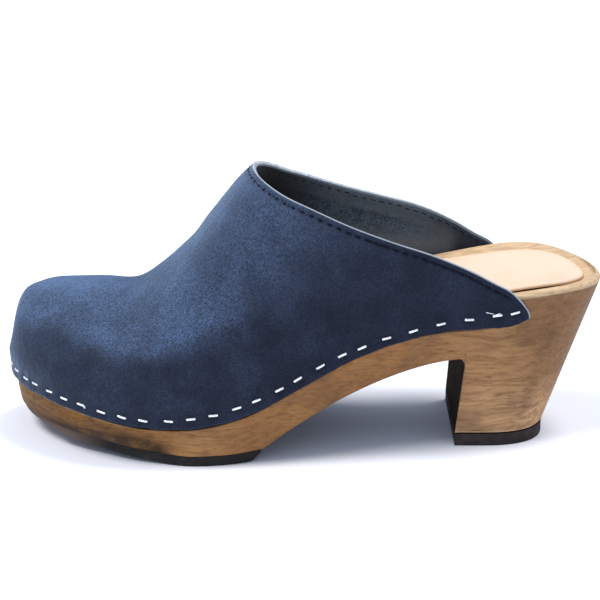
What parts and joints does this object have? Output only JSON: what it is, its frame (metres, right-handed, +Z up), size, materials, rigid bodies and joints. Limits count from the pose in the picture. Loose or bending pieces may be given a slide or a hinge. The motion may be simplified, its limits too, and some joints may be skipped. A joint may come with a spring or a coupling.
{
  "type": "heeled wooden clog",
  "caption": "Left-foot slip-on clog: a nubuck leather upper fixed round a heeled wooden sole, a leather sock on the foot bed, rubber under forefoot and heel.",
  "frame": {"origin": "on the floor, under the middle of the shoe's box", "axes": "+X from the toe to the heel, +Y to the inner side of the foot, +Z up"},
  "size_m": [0.2424, 0.095, 0.1089],
  "materials": {
    "wood": "oiled mid-brown wood with lengthwise grain",
    "nubuck": "matt slate-blue nubuck with a fine nap",
    "sock_leather": "smooth pale natural leather",
    "rubber": "matt near-black rubber",
    "staple_steel": "bright plain wire"
  },
  "bodies": {
    "root": {"wood_sole": "wood", "upper": "nubuck", "insole": "sock_leather", "forefoot_outsole": "rubber", "heel_lift": "rubber", "staple_01": "staple_steel", "staple_02": "staple_steel", "staple_03": "staple_steel", "staple_04": "staple_steel", "staple_05": "staple_steel", "staple_06": "staple_steel", "staple_07": "staple_steel", "staple_08": "staple_steel", "staple_09": "staple_steel", "staple_10": "staple_steel", "staple_11": "staple_steel", "staple_12": "staple_steel", "staple_13": "staple_steel", "staple_14": "staple_steel", "staple_15": "staple_steel", "staple_16": "staple_steel", "staple_17": "staple_steel", "staple_18": "staple_steel", "staple_19": "staple_steel", "staple_20": "staple_steel", "staple_21": "staple_steel", "staple_22": "staple_steel", "staple_23": "staple_steel", "staple_24": "staple_steel", "staple_25": "staple_steel", "staple_26": "staple_steel", "staple_27": "staple_steel", "staple_28": "staple_steel", "staple_29": "staple_steel", "staple_30": "staple_steel", "staple_31": "staple_steel", "staple_32": "staple_steel", "staple_33": "staple_steel", "staple_34": "staple_steel", "staple_35": "staple_steel", "staple_36": "staple_steel", "staple_37": "staple_steel", "staple_38": "staple_steel", "staple_39": "staple_steel", "staple_40": "staple_steel", "staple_41": "staple_steel", "staple_42": "staple_steel", "staple_43": "staple_steel", "staple_44": "staple_steel", "staple_45": "staple_steel", "staple_46": "staple_steel", "staple_47": "staple_steel", "staple_48": "staple_steel", "staple_49": "staple_steel", "staple_50": "staple_steel", "staple_51": "staple_steel", "staple_52": "staple_steel"}
  },
  "joints": []
}
